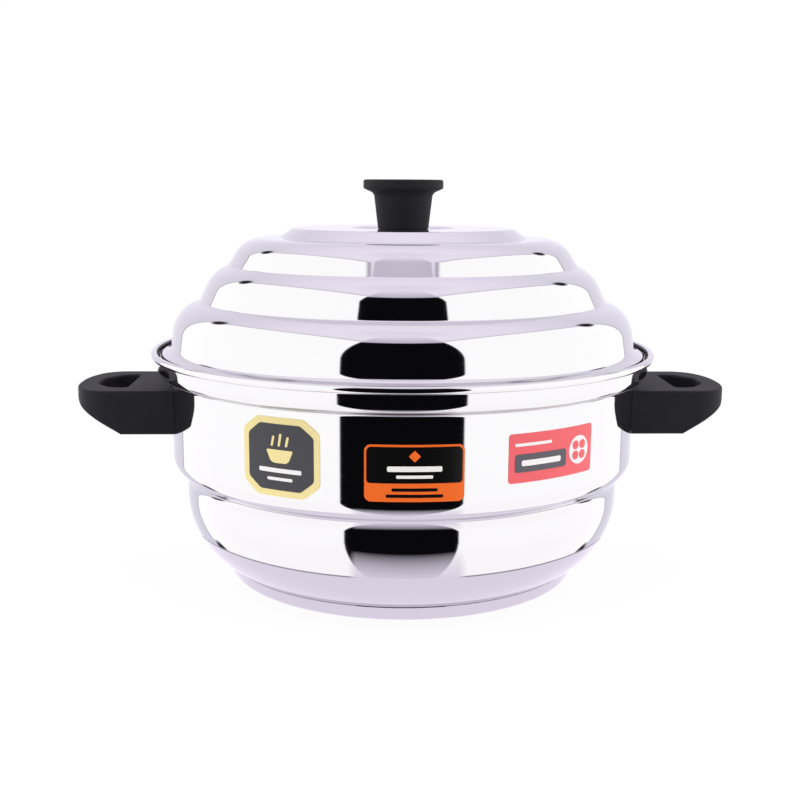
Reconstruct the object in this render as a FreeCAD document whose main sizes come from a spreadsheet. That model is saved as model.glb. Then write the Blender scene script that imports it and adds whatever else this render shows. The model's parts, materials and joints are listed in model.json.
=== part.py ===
import FreeCAD, Part
import math
import os
import re

import Sketcher

# Idli steamer: a spun steel pot with bakelite handles, a stepped lid and a stand of four idli plates.
# Millimetres, +Z up, origin on the table under the pot's axis, handles along X.

PLATES = 4
CUPS = 4
RING_HOLES = 6
LEGS = 3
TURN = 360.0

SIZES = [
    # Idli plates: the pot is drawn round them.
    ("cup_radius", 37.0, "mouth radius of an idli cup"),
    ("cup_depth", 15.0, "inside depth of an idli cup"),
    ("cup_web", 4.0, "metal between neighbouring cups"),
    ("cup_lip", 4.6, "flat lip round a cup"),
    ("plate_sheet", 0.8, "sheet of the idli plates"),
    ("idli_headroom", 14.2, "free height over a plate for the idlis to rise"),
    ("steam_hole_radius", 1.5, "steam hole in a cup"),
    ("steam_hole_ring", 13.0, "radius of the ring of steam holes"),
    ("water_depth", 21.4, "room for water under the lowest cups"),
    # Idli stand.
    ("rod_radius", 4.0, "centre rod"),
    ("running_fit", 0.3, "gap round the rod in what slides or turns on it"),
    ("spacer_wall", 2.2, "wall of a spacer sleeve"),
    ("hub_radius", 14.0, "hub flange"),
    ("hub_flange", 3.0, "thickness of the hub flange"),
    ("hub_collar_radius", 7.5, "hub collar"),
    ("hub_collar", 4.0, "height of the hub collar"),
    ("leg_height", 14.2, "floor to the underside of the hub"),
    ("leg_sheet", 1.5, "strip of the legs"),
    ("leg_width", 13.0, "width of a leg"),
    ("leg_start", 6.5, "inner end of a leg from the axis"),
    ("leg_shoulder", 20.0, "bend of a leg under the hub, from the axis"),
    ("leg_span", 52.0, "bend of a leg at the foot, from the axis"),
    ("foot_length", 20.0, "flat foot of a leg"),
    ("leg_round", 6.0, "bend radius of a leg"),
    ("lift_knob_radius", 11.0, "lifting knob, top flange"),
    ("lift_waist_radius", 7.0, "lifting knob, waist"),
    ("lift_foot_radius", 9.5, "lifting knob, foot"),
    ("lift_knob_height", 24.0, "lifting knob, overall"),
    ("lift_foot_height", 4.0, "lifting knob, foot"),
    ("lift_flange_height", 8.0, "lifting knob, top flange"),
    ("lift_round", 1.6, "lifting knob, rounding"),
    ("thread_depth", 15.0, "rod in the lifting knob"),
    ("thread_runout", 2.0, "bore past the rod's end"),
    # Pot.
    ("pot_sheet", 1.0, "sheet of the pot"),
    ("steam_gap", 15.25, "gap between the plates and the pot"),
    ("base_cap_sheet", 0.6, "sheet of the base cap"),
    ("core_thickness", 5.2, "aluminium core of the base"),
    ("core_inset", 7.0, "core edge inside the cap's corner"),
    ("base_inset", 20.0, "cap corner inside the pot's lower wall"),
    ("base_round", 3.5, "corner of the base cap"),
    ("seam_flare", 1.7, "cap wall lean, corner to seam"),
    ("seam_height", 7.2, "base seam over the table"),
    ("floor_inset", 21.4, "floor corner inside the pot's lower wall"),
    ("floor_round", 3.0, "corner between floor and bowl"),
    ("bowl_foot_height", 14.4, "bowl corner over the floor"),
    ("bowl_round", 42.7, "round of the bowl"),
    ("ledge_height", 52.2, "foot of the ledge over the table"),
    ("ledge_step", 7.0, "ledge, outward"),
    ("ledge_rise", 10.0, "ledge, upward"),
    ("ledge_round", 12.0, "rounds of the ledge"),
    ("neck_step", 2.0, "step between band and neck, outward"),
    ("neck_step_rise", 1.2, "step between band and neck, upward"),
    ("neck_round", 1.2, "rounds of the neck step"),
    ("mouth_round", 0.6, "neck to the mouth ledge"),
    ("neck_height", 9.9, "neck"),
    ("neck_flare", 1.0, "widening of the neck"),
    ("rim_reach", 5.25, "neck to the middle of the rolled rim"),
    ("rim_bead_radius", 1.75, "rolled rim"),
    ("rim_bead_lift", 1.65, "middle of the rolled rim over the mouth ledge"),
    # Lid.
    ("lid_sheet", 0.8, "sheet of the lid"),
    ("lid_overlap", 2.6, "lid edge outside the mouth's bore"),
    ("hem_thickness", 2.2, "folded hem of the lid"),
    ("hem_width", 3.4, "folded hem of the lid"),
    ("hem_round", 0.8, "outer edges of the hem"),
    ("flange_run", 4.4, "lid flange, edge to the first wall"),
    ("flange_rise", 2.7, "lid flange"),
    ("foot_round", 1.5, "flange to the first wall"),
    ("groove_round", 1.0, "grooves between the steps"),
    ("first_rise", 17.0, "first step, wall height"),
    ("first_lean", 3.0, "first step, wall lean"),
    ("first_round", 17.0, "first step, shoulder"),
    ("first_shelf_rise", 6.7, "first step, shelf"),
    ("first_shelf_run", 12.9, "first step, shelf"),
    ("second_rise", 12.6, "second step, wall height"),
    ("second_lean", 6.1, "second step, wall lean"),
    ("second_round", 18.0, "second step, shoulder"),
    ("second_shelf_rise", 5.3, "second step, shelf"),
    ("second_shelf_run", 8.7, "second step, shelf"),
    ("third_rise", 12.0, "third step, wall height"),
    ("third_lean", 9.7, "third step, wall lean"),
    ("third_round", 18.0, "third step, shoulder"),
    ("third_shelf_rise", 0.5, "third step, shelf"),
    ("third_shelf_run", 15.8, "third step, shelf"),
    ("crown_rise", 5.5, "crown"),
    ("crown_lean", 7.0, "crown, edge lean"),
    ("crown_round", 4.0, "crown, edge"),
    ("knob_seat_depth", 1.6, "dished seat of the lid knob"),
    ("knob_seat_radius", 24.5, "dished seat of the lid knob"),
    ("knob_seat_lean", 2.5, "wall of the dished seat"),
    ("knob_seat_round", 1.6, "rounds of the dished seat"),
    # Lid knob and its fastening.
    ("knob_top_radius", 20.6, "lid knob, top flange"),
    ("knob_neck_radius", 15.4, "lid knob, under the flange"),
    ("knob_foot_radius", 13.0, "lid knob, foot"),
    ("knob_height", 25.4, "lid knob, overall"),
    ("knob_flange", 4.7, "lid knob, flange"),
    ("knob_flange_slope", 3.0, "lid knob, underside of the flange"),
    ("knob_flange_round", 5.0, "lid knob, hollow under the flange"),
    ("knob_edge_round", 1.2, "lid knob, edges"),
    ("insert_radius", 5.0, "brass insert"),
    ("insert_length", 12.0, "brass insert"),
    ("screw_radius", 2.5, "all screws, shank"),
    ("screw_fit", 0.1, "gap round a screw in its thread"),
    ("screw_hole_fit", 0.4, "gap round a screw in a plain hole"),
    ("screw_head_radius", 4.6, "all screws, head"),
    ("screw_head", 2.8, "all screws, head height"),
    ("screw_head_round", 1.2, "all screws, head edge"),
    ("screw_spare", 2.0, "insert depth past the knob screw"),
    ("washer_radius", 9.0, "washer under the knob screw"),
    ("washer_sheet", 1.0, "washer under the knob screw"),
    ("head_room", 16.2, "lifting knob to the knob screw"),
    # Handles.
    ("handle_drop", 4.4, "handle top under the neck step"),
    ("handle_thickness", 22.3, "handle, at the wall"),
    ("handle_width", 65.0, "handle, across"),
    ("handle_length", 48.5, "wall to handle tip"),
    ("handle_root", 8.0, "handle run-in behind the wall line, trimmed by the wall"),
    ("nose_width_share", 24 / 65, "flat nose of the handle, to the handle's width"),
    ("nose_run_share", 8 / 65, "bevel between side and nose, to the handle's width"),
    ("side_round_share", 16 / 65, "plan round, side to bevel, to the handle's width"),
    ("nose_round_share", 46 / 65, "plan round, bevel to nose, to the handle's width"),
    ("handle_rise_past", 1.4, "finger hole to the start of the sloping underside"),
    ("nose_lift_share", 16.6 / 22.3, "rise of the underside to its corner, to the handle's thickness"),
    ("handle_chin_past", 1.5, "corner of the underside past the nose"),
    ("handle_chin_round", 12.0, "underside to nose"),
    ("handle_edge_round", 1.5, "handle edges"),
    ("grip_start_share", 21.4 / 48.5, "wall to the finger hole, to the handle's length"),
    ("grip_end_share", 38.4 / 48.5, "wall to the finger hole's outer end, to the handle's length"),
    ("grip_bevel_share", 9 / 48.5, "finger hole, outer bevels and rounds, to the handle's length"),
    ("grip_width_share", 40 / 65, "finger hole, across, to the handle's width"),
    ("grip_nose_share", 14 / 65, "finger hole, straight outer end, to the handle's width"),
    ("grip_corner", 2.0, "finger hole, inner corners"),
    ("wall_gap", 0.1, "welded or seated curved faces"),
    ("saddle_sheet", 1.6, "handle bracket, saddle"),
    ("saddle_width", 28.0, "handle bracket, saddle"),
    ("saddle_height", 14.0, "handle bracket, saddle"),
    ("tongue_sheet", 3.0, "handle bracket, tongue"),
    ("tongue_width", 16.0, "handle bracket, tongue"),
    ("tongue_length", 17.0, "wall to the end of the tongue"),
    ("tongue_hole", 9.5, "wall to the tongue's screw"),
    ("bracket_fit", 0.3, "gap round a bracket in its handle"),
    ("counterbore", 4.4, "depth of the screw head under a handle"),
    ("screw_past_tongue", 2.0, "screw end over the tongue"),
]

ALIASES = {alias for alias, _, _ in SIZES}

# Places that follow from the sizes, as expressions.
CUP_CIRCLE = "((2 * cup_radius + cup_web) / sqrt(2))"
LOBE = "(cup_radius + cup_lip)"
PITCH = "(cup_depth + plate_sheet + idli_headroom)"
SPHERE = "((cup_radius * cup_radius + cup_depth * cup_depth) / (2 * cup_depth))"

WALL = f"({CUP_CIRCLE} + {LOBE} + steam_gap + pot_sheet)"
BAND = f"({WALL} + ledge_step)"
NECK = f"({BAND} + neck_step)"
MOUTH = f"({NECK} + neck_flare)"
RIM = f"({MOUTH} + rim_reach)"

FLOOR = "(base_cap_sheet + core_thickness)"
FLOOR_TOP = f"({FLOOR} + pot_sheet)"
HUB = f"({FLOOR_TOP} + leg_height)"
HUB_TOP = f"({HUB} + hub_flange + hub_collar)"
FIRST_PLATE = f"({FLOOR_TOP} + water_depth + plate_sheet + cup_depth)"
LAST_PLATE = f"({FIRST_PLATE} + {PLATES - 1} * {PITCH})"
STACK_TOP = f"({LAST_PLATE} + lift_knob_height)"
LID_INSIDE = f"({STACK_TOP} + head_room + screw_head + washer_sheet)"
KNOB_SEAT = f"({LID_INSIDE} + lid_sheet)"
CROWN = f"({KNOB_SEAT} + knob_seat_depth)"
THIRD_GROOVE = f"({CROWN} - crown_rise)"
THIRD_SHOULDER = f"({THIRD_GROOVE} - third_shelf_rise)"
SECOND_GROOVE = f"({THIRD_SHOULDER} - third_rise)"
SECOND_SHOULDER = f"({SECOND_GROOVE} - second_shelf_rise)"
FIRST_GROOVE = f"({SECOND_SHOULDER} - second_rise)"
FIRST_SHOULDER = f"({FIRST_GROOVE} - first_shelf_rise)"
LID_FOOT = f"({FIRST_SHOULDER} - first_rise)"
HEM_TOP = f"({LID_FOOT} - flange_rise)"
LID_SEAT = f"({HEM_TOP} - hem_thickness)"
MOUTH_LEDGE = f"({LID_SEAT} - pot_sheet)"
NECK_FOOT = f"({MOUTH_LEDGE} - neck_height)"
BAND_TOP = f"({NECK_FOOT} - neck_step_rise)"
HANDLE_TOP = f"({BAND_TOP} - handle_drop)"
HANDLE_FOOT = f"({HANDLE_TOP} - handle_thickness)"
HANDLE_MIDDLE = f"({HANDLE_TOP} - handle_thickness / 2)"

LID_EDGE = f"({MOUTH} - pot_sheet + lid_overlap)"
LID_WALL = f"({LID_EDGE} - flange_run)"
FIRST_SHOULDER_R = f"({LID_WALL} - first_lean)"
FIRST_GROOVE_R = f"({FIRST_SHOULDER_R} - first_shelf_run)"
SECOND_SHOULDER_R = f"({FIRST_GROOVE_R} - second_lean)"
SECOND_GROOVE_R = f"({SECOND_SHOULDER_R} - second_shelf_run)"
THIRD_SHOULDER_R = f"({SECOND_GROOVE_R} - third_lean)"
THIRD_GROOVE_R = f"({THIRD_SHOULDER_R} - third_shelf_run)"
CROWN_R = f"({THIRD_GROOVE_R} - crown_lean)"

ON_XZ = FreeCAD.Rotation(FreeCAD.Vector(1, 0, 0), 90)
Z_AXIS = FreeCAD.Vector(0, 0, 1)
SMALL = 1e-6

doc = FreeCAD.newDocument("IdliSteamer")
sheet = doc.addObject("Spreadsheet::Sheet", "Sizes")
for row, (alias, size, note) in enumerate(SIZES, start=1):
    sheet.set(f"A{row}", note)
    sheet.set(f"B{row}", str(size))
    sheet.setAlias(f"B{row}", alias)
doc.recompute()

subparts = []


def sized(text):
    """Point every size named in an expression at its cell of the sheet."""
    return re.sub(
        r"[a-z_]+",
        lambda word: "Sizes." + word.group() if word.group() in ALIASES else word.group(),
        text,
    )


def number(item, text):
    """The present value of an expression."""
    return float(item.evalExpression(sized(text)))


def bind(item, path, text):
    """Tie a property of an object to the sheet."""
    item.setExpression(path, sized(text))


def subpart(item, label):
    """Name an object as a piece of the product."""
    item.Label = label
    subparts.append(item)
    return item


def fix(sketch, point, kind, text):
    """Hold one coordinate of a sketch point at an expression."""
    place = number(sketch, text)
    if abs(place) < SMALL:
        axis = -2 if kind == "DistanceX" else -1
        sketch.addConstraint(Sketcher.Constraint("PointOnObject", *point, axis))
    elif place > 0:
        index = sketch.addConstraint(Sketcher.Constraint(kind, -1, 1, *point, place))
        bind(sketch, f"Constraints[{index}]", text)
    else:
        index = sketch.addConstraint(Sketcher.Constraint(kind, *point, -1, 1, -place))
        bind(sketch, f"Constraints[{index}]", f"-({text})")


def draw(sketch, corners, closed=True):
    """Draw edges through corners (across, up, round), with a tangent arc at each round."""
    count = len(corners)
    points = [FreeCAD.Vector(number(sketch, c[0]), number(sketch, c[1]), 0) for c in corners]
    leave = list(points)
    arrive = list(points)
    arcs = {}
    for i, corner in enumerate(corners):
        if len(corner) < 3:
            continue
        back = (points[i - 1] - points[i]).normalize()
        ahead = (points[(i + 1) % count] - points[i]).normalize()
        radius = number(sketch, corner[2])
        half = back.getAngle(ahead) / 2
        arrive[i] = points[i] + back * (radius / math.tan(half))
        leave[i] = points[i] + ahead * (radius / math.tan(half))
        middle = points[i] + (back + ahead).normalize() * (radius / math.sin(half))
        left_turn = back.cross(ahead).z < 0
        first, last = (arrive[i], leave[i]) if left_turn else (leave[i], arrive[i])
        angles = [math.atan2((p - middle).y, (p - middle).x) for p in (first, last)]
        circle = Part.Circle(middle, Z_AXIS, radius)
        arcs[i] = (sketch.addGeometry(Part.ArcOfCircle(circle, *angles)), 1 if left_turn else 2)
    edges = count if closed else count - 1
    lines = [
        sketch.addGeometry(Part.LineSegment(leave[i], arrive[(i + 1) % count])) for i in range(edges)
    ]
    for i, corner in enumerate(corners):
        before = lines[i - 1] if closed or i > 0 else None
        after = lines[i] if i < edges else None
        if i in arcs:
            arc, start = arcs[i]
            held = (sketch.addGeometry(Part.Point(points[i]), True), 1)
            sketch.addConstraint(
                [
                    Sketcher.Constraint("Tangent", before, 2, arc, start),
                    Sketcher.Constraint("Tangent", after, 1, arc, 3 - start),
                    Sketcher.Constraint("PointOnObject", *held, before),
                    Sketcher.Constraint("PointOnObject", *held, after),
                ]
            )
            index = sketch.addConstraint(Sketcher.Constraint("Radius", arc, number(sketch, corner[2])))
            bind(sketch, f"Constraints[{index}]", corner[2])
        elif after is None:
            held = (before, 2)
        else:
            held = (after, 1)
            if before is not None:
                sketch.addConstraint(Sketcher.Constraint("Coincident", before, 2, after, 1))
        fix(sketch, held, "DistanceX", corner[0])
        fix(sketch, held, "DistanceY", corner[1])


def ring(sketch, across, up, radius):
    """Draw a circle."""
    middle = FreeCAD.Vector(number(sketch, across), number(sketch, up), 0)
    circle = sketch.addGeometry(Part.Circle(middle, Z_AXIS, number(sketch, radius)))
    fix(sketch, (circle, 3), "DistanceX", across)
    fix(sketch, (circle, 3), "DistanceY", up)
    index = sketch.addConstraint(Sketcher.Constraint("Radius", circle, number(sketch, radius)))
    bind(sketch, f"Constraints[{index}]", radius)


def new_body(name):
    """An empty body."""
    return doc.addObject("PartDesign::Body", name)


def new_sketch(body, role, name, lift=None):
    """A sketch on one of a body's own origin planes, raised along its normal."""
    sketch = body.newObject("Sketcher::SketchObject", name)
    plane = next(item for item in body.Origin.OriginFeatures if item.Role == role)
    sketch.AttachmentSupport = [(plane, "")]
    sketch.MapMode = "FlatFace"
    if lift:
        bind(sketch, "AttachmentOffset.Base.z", lift)
    return sketch


def turned(name, corners):
    """A body turned about Z from its half outline (radius, height, round)."""
    body = new_body(name)
    sketch = new_sketch(body, "XZ_Plane", name + "_outline")
    draw(sketch, corners)
    turn = body.newObject("PartDesign::Revolution", name + "_turn")
    turn.Profile = sketch
    turn.ReferenceAxis = (sketch, ["V_Axis"])
    turn.Angle = TURN
    body.Tip = turn
    return body


def spun(name, corners, thickness):
    """A sheet spun about Z: its line (radius, height, round) given a thickness, then turned."""
    line = doc.addObject("Sketcher::SketchObject", name + "_line")
    line.Placement = FreeCAD.Placement(FreeCAD.Vector(), ON_XZ)
    draw(line, corners, closed=False)
    doc.recompute()
    skin = doc.addObject("Part::Offset2D", name + "_sheet")
    skin.Source = line
    skin.Mode = "Skin"
    skin.Join = "Intersection"
    skin.Fill = True
    bind(skin, "Value", thickness)
    turn = doc.addObject("Part::Revolution", name + "_turn")
    turn.Source = skin
    turn.Axis = Z_AXIS
    turn.Base = FreeCAD.Vector()
    turn.Angle = TURN
    turn.Solid = True
    return turn


def cylinder(name, radius, foot, height):
    """An upright cylinder on the axis."""
    item = doc.addObject("Part::Cylinder", name)
    bind(item, "Radius", radius)
    bind(item, "Height", height)
    bind(item, "Placement.Base.z", foot)
    return item


def block(name, start, width, foot, length, height):
    """A box that starts at X and is centred on the XZ plane."""
    item = doc.addObject("Part::Box", name)
    bind(item, "Length", length)
    bind(item, "Width", width)
    bind(item, "Height", height)
    bind(item, "Placement.Base.x", start)
    bind(item, "Placement.Base.y", f"-({width}) / 2")
    bind(item, "Placement.Base.z", foot)
    return item


def joined(name, *items):
    """Several solids as one."""
    item = doc.addObject("Part::MultiFuse", name)
    item.Shapes = list(items)
    item.Refine = True
    return item


def cut(name, base, tool):
    """One solid less another."""
    item = doc.addObject("Part::Cut", name)
    item.Base = base
    item.Tool = tool
    item.Refine = True
    return item


def make_pot():
    """The spun pot with its rolled rim, and the pressed base with its aluminium core."""
    wall = spun(
        "pot_wall",
        [
            ("0", FLOOR),
            (f"{WALL} - floor_inset", FLOOR, "floor_round"),
            (WALL, f"{FLOOR} + bowl_foot_height", "bowl_round"),
            (WALL, "ledge_height", "ledge_round"),
            (BAND, "ledge_height + ledge_rise", "ledge_round"),
            (BAND, BAND_TOP, "neck_round"),
            (NECK, NECK_FOOT, "neck_round"),
            (MOUTH, MOUTH_LEDGE, "mouth_round"),
            (RIM, MOUTH_LEDGE),
        ],
        "pot_sheet",
    )
    bead = doc.addObject("Part::Torus", "rim_bead")
    bind(bead, "Radius1", RIM)
    bind(bead, "Radius2", "rim_bead_radius")
    bind(bead, "Placement.Base.z", f"{MOUTH_LEDGE} + rim_bead_lift")
    subpart(joined("pot", wall, bead), "pot_body")
    core = turned(
        "core",
        [
            ("0", "base_cap_sheet"),
            (f"{WALL} - base_inset - core_inset", "base_cap_sheet"),
            (f"{WALL} - base_inset - core_inset", FLOOR),
            ("0", FLOOR),
        ],
    )
    subpart(core, "base_core_disc")
    cap = spun(
        "cap",
        [
            ("0", "0"),
            (f"{WALL} - base_inset", "0", "base_round"),
            (f"{WALL} - base_inset + seam_flare", "seam_height"),
        ],
        "base_cap_sheet",
    )
    subpart(cap, "base_cap")


def make_lid():
    """The stepped lid with its hem, and the knob with what fastens it."""
    skin = spun(
        "lid_skin",
        [
            (f"{LID_EDGE} - hem_thickness / 2", HEM_TOP),
            (LID_WALL, LID_FOOT, "foot_round"),
            (FIRST_SHOULDER_R, FIRST_SHOULDER, "first_round"),
            (FIRST_GROOVE_R, FIRST_GROOVE, "groove_round"),
            (SECOND_SHOULDER_R, SECOND_SHOULDER, "second_round"),
            (SECOND_GROOVE_R, SECOND_GROOVE, "groove_round"),
            (THIRD_SHOULDER_R, THIRD_SHOULDER, "third_round"),
            (THIRD_GROOVE_R, THIRD_GROOVE, "groove_round"),
            (CROWN_R, CROWN, "crown_round"),
            ("knob_seat_radius + knob_seat_lean", CROWN, "knob_seat_round"),
            ("knob_seat_radius", KNOB_SEAT, "knob_seat_round"),
            ("0", KNOB_SEAT),
        ],
        "-lid_sheet",
    )
    hem = turned(
        "hem",
        [
            (f"{LID_EDGE} - hem_width", LID_SEAT),
            (LID_EDGE, LID_SEAT, "hem_round"),
            (LID_EDGE, HEM_TOP, "hem_round"),
            (f"{LID_EDGE} - hem_width", HEM_TOP),
        ],
    )
    hole = cylinder(
        "knob_hole", "screw_radius + screw_hole_fit", f"{LID_INSIDE} - lid_sheet / 2", "2 * lid_sheet"
    )
    subpart(cut("lid", joined("lid_blank", skin, hem), hole), "lid_shell")
    knob_top = f"{KNOB_SEAT} + knob_height"
    knob = turned(
        "knob",
        [
            ("insert_radius", KNOB_SEAT),
            ("knob_foot_radius", KNOB_SEAT, "knob_edge_round"),
            ("knob_neck_radius", f"{knob_top} - knob_flange - knob_flange_slope", "knob_flange_round"),
            ("knob_top_radius", f"{knob_top} - knob_flange", "knob_edge_round"),
            ("knob_top_radius", knob_top, "knob_edge_round"),
            ("0", knob_top),
            ("0", f"{KNOB_SEAT} + insert_length"),
            ("insert_radius", f"{KNOB_SEAT} + insert_length"),
        ],
    )
    subpart(knob, "lid_knob")
    insert = turned(
        "insert",
        [
            ("screw_radius + screw_fit", KNOB_SEAT),
            ("insert_radius", KNOB_SEAT),
            ("insert_radius", f"{KNOB_SEAT} + insert_length"),
            ("screw_radius + screw_fit", f"{KNOB_SEAT} + insert_length"),
        ],
    )
    subpart(insert, "knob_insert")
    washer = turned(
        "washer",
        [
            ("screw_radius + screw_hole_fit", f"{LID_INSIDE} - washer_sheet"),
            ("washer_radius", f"{LID_INSIDE} - washer_sheet"),
            ("washer_radius", LID_INSIDE),
            ("screw_radius + screw_hole_fit", LID_INSIDE),
        ],
    )
    subpart(washer, "knob_washer")
    length = "lid_sheet + washer_sheet + insert_length - screw_spare"
    screw = make_screw("knob_fastener", length)
    bind(screw, "Placement.Base.z", f"{LID_INSIDE} - washer_sheet")
    subpart(screw, "knob_screw")


def make_screw(name, length):
    """A pan head screw with the seat of its head at its own origin, its shank upward."""
    return turned(
        name,
        [
            ("0", "-screw_head"),
            ("screw_head_radius", "-screw_head", "screw_head_round"),
            ("screw_head_radius", "0"),
            ("screw_radius", "0"),
            ("screw_radius", length),
            ("0", length),
        ],
    )


def make_bracket(name, fit):
    """A saddle on the band's wall with a tongue along X, grown by a fit on every side."""
    outside = cylinder(
        name + "_outside", f"{BAND} + wall_gap + saddle_sheet + {fit}", HANDLE_FOOT, "handle_thickness"
    )
    inside = cylinder(name + "_inside", f"{BAND} + wall_gap", HANDLE_FOOT, "handle_thickness")
    height = f"saddle_height + 2 * {fit}"
    window = block(
        name + "_window",
        "0",
        f"saddle_width + 2 * {fit}",
        f"{HANDLE_MIDDLE} - ({height}) / 2",
        f"2 * {BAND}",
        height,
    )
    saddle = doc.addObject("Part::Common", name + "_saddle")
    saddle.Base = cut(name + "_shell", outside, inside)
    saddle.Tool = window
    height = f"tongue_sheet + 2 * {fit}"
    tongue = block(
        name + "_tongue",
        f"{BAND} + saddle_sheet / 2",
        f"tongue_width + 2 * {fit}",
        f"{HANDLE_MIDDLE} - ({height}) / 2",
        f"tongue_length - saddle_sheet / 2 + {fit}",
        height,
    )
    return joined(name, saddle, tongue)


def make_handle_form(name):
    """The moulded handle: plan outline, sloping underside, finger hole and rounded edges."""
    body = new_body(name)
    tip = f"{BAND} + handle_length"
    plan = new_sketch(body, "XY_Plane", name + "_plan", HANDLE_FOOT)
    half = [
        (f"{BAND} - handle_root", "handle_width / 2"),
        (f"{tip} - nose_run_share * handle_width", "handle_width / 2", "side_round_share * handle_width"),
        (tip, "nose_width_share * handle_width / 2", "nose_round_share * handle_width"),
    ]
    draw(plan, mirrored(half))
    pad = body.newObject("PartDesign::Pad", name + "_pad")
    pad.Profile = plan
    bind(pad, "Length", "handle_thickness")
    slope = new_sketch(body, "XZ_Plane", name + "_slope")
    rise = f"{BAND} + grip_start_share * handle_length + handle_rise_past"
    lifted = f"{HANDLE_FOOT} + nose_lift_share * handle_thickness"
    clear_foot = f"{HANDLE_FOOT} - handle_thickness"
    clear_top = f"{HANDLE_TOP} + handle_thickness"
    draw(
        slope,
        [
            (rise, HANDLE_FOOT),
            (f"{tip} + handle_chin_past", lifted, "handle_chin_round"),
            (f"{tip} + handle_chin_past", clear_top),
            (f"{tip} + handle_thickness", clear_top),
            (f"{tip} + handle_thickness", clear_foot),
            (rise, clear_foot),
        ],
    )
    chin = body.newObject("PartDesign::Pocket", name + "_chin")
    chin.Profile = slope
    chin.Type = "ThroughAll"
    chin.Midplane = True
    grip = new_sketch(body, "XY_Plane", name + "_grip", HANDLE_TOP)
    start = f"{BAND} + grip_start_share * handle_length"
    end = f"{BAND} + grip_end_share * handle_length"
    side = "grip_width_share * handle_width / 2"
    bevel = "grip_bevel_share * handle_length"
    half = [
        (start, side, "grip_corner"),
        (f"{end} - {bevel}", side, bevel),
        (end, "grip_nose_share * handle_width / 2", bevel),
    ]
    draw(grip, mirrored(half))
    hole = body.newObject("PartDesign::Pocket", name + "_hole")
    hole.Profile = grip
    hole.Type = "ThroughAll"
    body.Tip = hole
    doc.recompute()
    rounds = body.newObject("PartDesign::Fillet", name + "_rounds")
    rounds.Base = (hole, edges_to_round(hole, number(body, f"{BAND} - handle_root")))
    bind(rounds, "Radius", "handle_edge_round")
    body.Tip = rounds
    return body


def mirrored(half):
    """An outline's upper half and its mirror image below the X axis, as one closed outline."""
    return half + [(corner[0], f"-({corner[1]})", *corner[2:]) for corner in reversed(half)]


def edges_to_round(feature, root):
    """The edges of a handle's top and underside, without its trimmed root."""
    names = []
    for index, edge in enumerate(feature.Shape.Edges, start=1):
        clear_of_root = edge.BoundBox.XMax > root + SMALL
        if clear_of_root and joins_flat_to_side(feature.Shape, edge):
            names.append(f"Edge{index}")
    return names


def joins_flat_to_side(shape, edge):
    """Whether an edge lies between an upright face and one that isn't."""
    upright = []
    for face in shape.ancestorsOfType(edge, Part.Face):
        normal = face.normalAt(*face.Surface.parameter(edge.valueAt(edge.FirstParameter)))
        upright.append(abs(normal.z) < SMALL)
    return sorted(upright) == [False, True]


def make_handles():
    """The two handles with their brackets and screws, the left a half turn from the right."""
    for side, turn in (("right", 0), ("left", 180)):
        around = FreeCAD.Placement(FreeCAD.Vector(), FreeCAD.Rotation(Z_AXIS, turn))
        form = make_handle_form(side + "_form")
        wall = cylinder(
            side + "_wall", f"{BAND} + wall_gap", f"{HANDLE_FOOT} - wall_gap", "2 * handle_thickness"
        )
        room = make_bracket(side + "_room", "bracket_fit")
        reach = "handle_thickness / 2 + tongue_sheet / 2 + screw_past_tongue"
        plain = "screw_radius + screw_hole_fit"
        shank = cylinder(side + "_shank", plain, HANDLE_FOOT, f"{reach} + screw_hole_fit")
        recess = "screw_head_radius + screw_hole_fit"
        head = cylinder(side + "_head", recess, f"{HANDLE_FOOT} - counterbore", "2 * counterbore")
        tap = cylinder(side + "_tap", "screw_radius + screw_fit", HANDLE_FOOT, "handle_thickness")
        for tool in (shank, head, tap):
            bind(tool, "Placement.Base.x", f"{BAND} + tongue_hole")
        handle = cut(side + "_moulding", form, joined(side + "_cuts", wall, room, shank, head))
        bracket = cut(side + "_bracket", make_bracket(side + "_blank", "0"), tap)
        screw = make_screw(side + "_fastener", f"{reach} - counterbore")
        sign = "" if side == "right" else "-"
        bind(screw, "Placement.Base.x", f"{sign}({BAND} + tongue_hole)")
        bind(screw, "Placement.Base.z", f"{HANDLE_FOOT} + counterbore")
        handle.Placement = around
        bracket.Placement = around
        subpart(handle, side + "_handle")
        subpart(bracket, side + "_handle_bracket")
        subpart(screw, side + "_handle_screw")


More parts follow.
